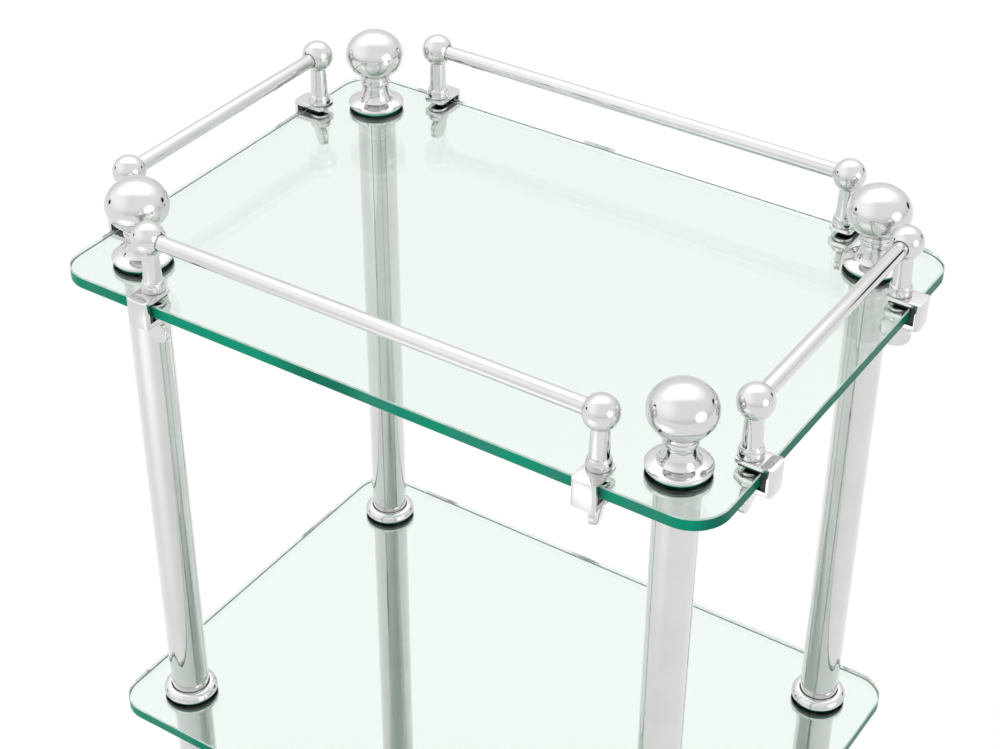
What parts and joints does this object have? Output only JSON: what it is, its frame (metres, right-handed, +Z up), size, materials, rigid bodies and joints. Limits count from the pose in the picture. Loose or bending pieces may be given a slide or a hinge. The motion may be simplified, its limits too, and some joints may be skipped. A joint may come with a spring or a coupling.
{
  "type": "spa trolley cart",
  "caption": "Glass-shelved serving trolley on swivel casters, with tubular posts, ball finials and a clamped gallery rail round the top shelf.",
  "frame": {"origin": "on the floor, under the middle of the trolley", "axes": "+X along the long side to the right, +Y to the back, +Z up"},
  "size_m": [0.4436, 0.3136, 0.8241],
  "materials": {
    "clear_glass": "clear float glass with a polished green edge",
    "polished_nickel": "mirror-polished plating",
    "plain_steel": "plain machined steel, hidden inside the posts",
    "rubber": "matte rubber, black to dark green",
    "wheel_rubber": "satin black moulded tread"
  },
  "bodies": {
    "root": {"glass_top": "clear_glass", "glass_middle": "clear_glass", "glass_bottom": "clear_glass", "finial_front_left": "polished_nickel", "finial_front_right": "polished_nickel", "finial_back_left": "polished_nickel", "finial_back_right": "polished_nickel", "upper_post_front_left": "polished_nickel", "upper_post_front_right": "polished_nickel", "upper_post_back_left": "polished_nickel", "upper_post_back_right": "polished_nickel", "lower_post_front_left": "polished_nickel", "lower_post_front_right": "polished_nickel", "lower_post_back_left": "polished_nickel", "lower_post_back_right": "polished_nickel", "rail_front": "polished_nickel", "rail_back": "polished_nickel", "rail_left": "polished_nickel", "rail_right": "polished_nickel", "rail_pillars_front": "polished_nickel", "rail_pillars_back": "polished_nickel", "rail_pillars_left": "polished_nickel", "rail_pillars_right": "polished_nickel", "clamp_jaws_front": "polished_nickel", "clamp_jaws_back": "polished_nickel", "clamp_jaws_left": "polished_nickel", "clamp_jaws_right": "polished_nickel", "threaded_studs": "plain_steel", "rubber_gaskets": "rubber", "ring_collars": "polished_nickel", "post_plugs": "plain_steel", "caster_stems": "polished_nickel"},
    "pad_front_left": {"pressure_pad_front_left": "polished_nickel"},
    "screw_front_left": {"wing_screw_front_left": "polished_nickel"},
    "pad_front_right": {"pressure_pad_front_right": "polished_nickel"},
    "screw_front_right": {"wing_screw_front_right": "polished_nickel"},
    "pad_back_left": {"pressure_pad_back_left": "polished_nickel"},
    "screw_back_left": {"wing_screw_back_left": "polished_nickel"},
    "pad_back_right": {"pressure_pad_back_right": "polished_nickel"},
    "screw_back_right": {"wing_screw_back_right": "polished_nickel"},
    "pad_left_front": {"pressure_pad_left_front": "polished_nickel"},
    "screw_left_front": {"wing_screw_left_front": "polished_nickel"},
    "pad_left_back": {"pressure_pad_left_back": "polished_nickel"},
    "screw_left_back": {"wing_screw_left_back": "polished_nickel"},
    "pad_right_front": {"pressure_pad_right_front": "polished_nickel"},
    "screw_right_front": {"wing_screw_right_front": "polished_nickel"},
    "pad_right_back": {"pressure_pad_right_back": "polished_nickel"},
    "screw_right_back": {"wing_screw_right_back": "polished_nickel"},
    "swivel_front_left": {"caster_fork_front_left": "polished_nickel", "caster_axle_front_left": "polished_nickel"},
    "wheel_front_left": {"caster_wheel_front_left": "wheel_rubber"},
    "swivel_front_right": {"caster_fork_front_right": "polished_nickel", "caster_axle_front_right": "polished_nickel"},
    "wheel_front_right": {"caster_wheel_front_right": "wheel_rubber"},
    "swivel_back_left": {"caster_fork_back_left": "polished_nickel", "caster_axle_back_left": "polished_nickel"},
    "wheel_back_left": {"caster_wheel_back_left": "wheel_rubber"},
    "swivel_back_right": {"caster_fork_back_right": "polished_nickel", "caster_axle_back_right": "polished_nickel"},
    "wheel_back_right": {"caster_wheel_back_right": "wheel_rubber"}
  },
  "joints": [
    {"name": "pad_slide_front_left", "type": "slide", "parent": "root", "child": "pad_front_left", "axis": [0, 0, -1], "range_m": [0, 0.00101]},
    {"name": "screw_turn_front_left", "type": "hinge", "parent": "pad_front_left", "child": "screw_front_left", "pos_m": [-0.1465, -0.1405, 0.752], "axis": [0, 0, -1], "range_deg": [0, 360]},
    {"name": "pad_slide_front_right", "type": "slide", "parent": "root", "child": "pad_front_right", "axis": [0, 0, -1], "range_m": [0, 0.00101]},
    {"name": "screw_turn_front_right", "type": "hinge", "parent": "pad_front_right", "child": "screw_front_right", "pos_m": [0.1465, -0.1405, 0.752], "axis": [0, 0, -1], "range_deg": [0, 360]},
    {"name": "pad_slide_back_left", "type": "slide", "parent": "root", "child": "pad_back_left", "axis": [0, 0, -1], "range_m": [0, 0.00101]},
    {"name": "screw_turn_back_left", "type": "hinge", "parent": "pad_back_left", "child": "screw_back_left", "pos_m": [-0.1465, 0.1405, 0.752], "axis": [0, 0, -1], "range_deg": [0, 360]},
    {"name": "pad_slide_back_right", "type": "slide", "parent": "root", "child": "pad_back_right", "axis": [0, 0, -1], "range_m": [0, 0.00101]},
    {"name": "screw_turn_back_right", "type": "hinge", "parent": "pad_back_right", "child": "screw_back_right", "pos_m": [0.1465, 0.1405, 0.752], "axis": [0, 0, -1], "range_deg": [0, 360]},
    {"name": "pad_slide_left_front", "type": "slide", "parent": "root", "child": "pad_left_front", "axis": [0, 0, -1], "range_m": [0, 0.00101]},
    {"name": "screw_turn_left_front", "type": "hinge", "parent": "pad_left_front", "child": "screw_left_front", "pos_m": [-0.2055, -0.09, 0.752], "axis": [0, 0, -1], "range_deg": [0, 360]},
    {"name": "pad_slide_left_back", "type": "slide", "parent": "root", "child": "pad_left_back", "axis": [0, 0, -1], "range_m": [0, 0.00101]},
    {"name": "screw_turn_left_back", "type": "hinge", "parent": "pad_left_back", "child": "screw_left_back", "pos_m": [-0.2055, 0.09, 0.752], "axis": [0, 0, -1], "range_deg": [0, 360]},
    {"name": "pad_slide_right_front", "type": "slide", "parent": "root", "child": "pad_right_front", "axis": [0, 0, -1], "range_m": [0, 0.00101]},
    {"name": "screw_turn_right_front", "type": "hinge", "parent": "pad_right_front", "child": "screw_right_front", "pos_m": [0.2055, -0.09, 0.752], "axis": [0, 0, -1], "range_deg": [0, 360]},
    {"name": "pad_slide_right_back", "type": "slide", "parent": "root", "child": "pad_right_back", "axis": [0, 0, -1], "range_m": [0, 0.00101]},
    {"name": "screw_turn_right_back", "type": "hinge", "parent": "pad_right_back", "child": "screw_right_back", "pos_m": [0.2055, 0.09, 0.752], "axis": [0, 0, -1], "range_deg": [0, 360]},
    {"name": "caster_swivel_front_left", "type": "hinge", "parent": "root", "child": "swivel_front_left", "pos_m": [-0.178, -0.1145, 0.058], "axis": [0, 0, 1], "continuous": true},
    {"name": "wheel_spin_front_left", "type": "hinge", "parent": "swivel_front_left", "child": "wheel_front_left", "pos_m": [-0.194, -0.1145, 0.025], "axis": [0, 1, 0], "continuous": true},
    {"name": "caster_swivel_front_right", "type": "hinge", "parent": "root", "child": "swivel_front_right", "pos_m": [0.178, -0.1145, 0.058], "axis": [0, 0, 1], "continuous": true},
    {"name": "wheel_spin_front_right", "type": "hinge", "parent": "swivel_front_right", "child": "wheel_front_right", "pos_m": [0.162, -0.1145, 0.025], "axis": [0, 1, 0], "continuous": true},
    {"name": "caster_swivel_back_left", "type": "hinge", "parent": "root", "child": "swivel_back_left", "pos_m": [-0.178, 0.1145, 0.058], "axis": [0, 0, 1], "continuous": true},
    {"name": "wheel_spin_back_left", "type": "hinge", "parent": "swivel_back_left", "child": "wheel_back_left", "pos_m": [-0.194, 0.1145, 0.025], "axis": [0, 1, 0], "continuous": true},
    {"name": "caster_swivel_back_right", "type": "hinge", "parent": "root", "child": "swivel_back_right", "pos_m": [0.178, 0.1145, 0.058], "axis": [0, 0, 1], "continuous": true},
    {"name": "wheel_spin_back_right", "type": "hinge", "parent": "swivel_back_right", "child": "wheel_back_right", "pos_m": [0.162, 0.1145, 0.025], "axis": [0, 1, 0], "continuous": true}
  ],
  "couplings": [
    {"joint": "pad_slide_front_left", "follows": "screw_turn_front_left", "m_per_rad": 0.00015915},
    {"joint": "pad_slide_front_right", "follows": "screw_turn_front_right", "m_per_rad": 0.00015915},
    {"joint": "pad_slide_back_left", "follows": "screw_turn_back_left", "m_per_rad": 0.00015915},
    {"joint": "pad_slide_back_right", "follows": "screw_turn_back_right", "m_per_rad": 0.00015915},
    {"joint": "pad_slide_left_front", "follows": "screw_turn_left_front", "m_per_rad": 0.00015915},
    {"joint": "pad_slide_left_back", "follows": "screw_turn_left_back", "m_per_rad": 0.00015915},
    {"joint": "pad_slide_right_front", "follows": "screw_turn_right_front", "m_per_rad": 0.00015915},
    {"joint": "pad_slide_right_back", "follows": "screw_turn_right_back", "m_per_rad": 0.00015915}
  ]
}
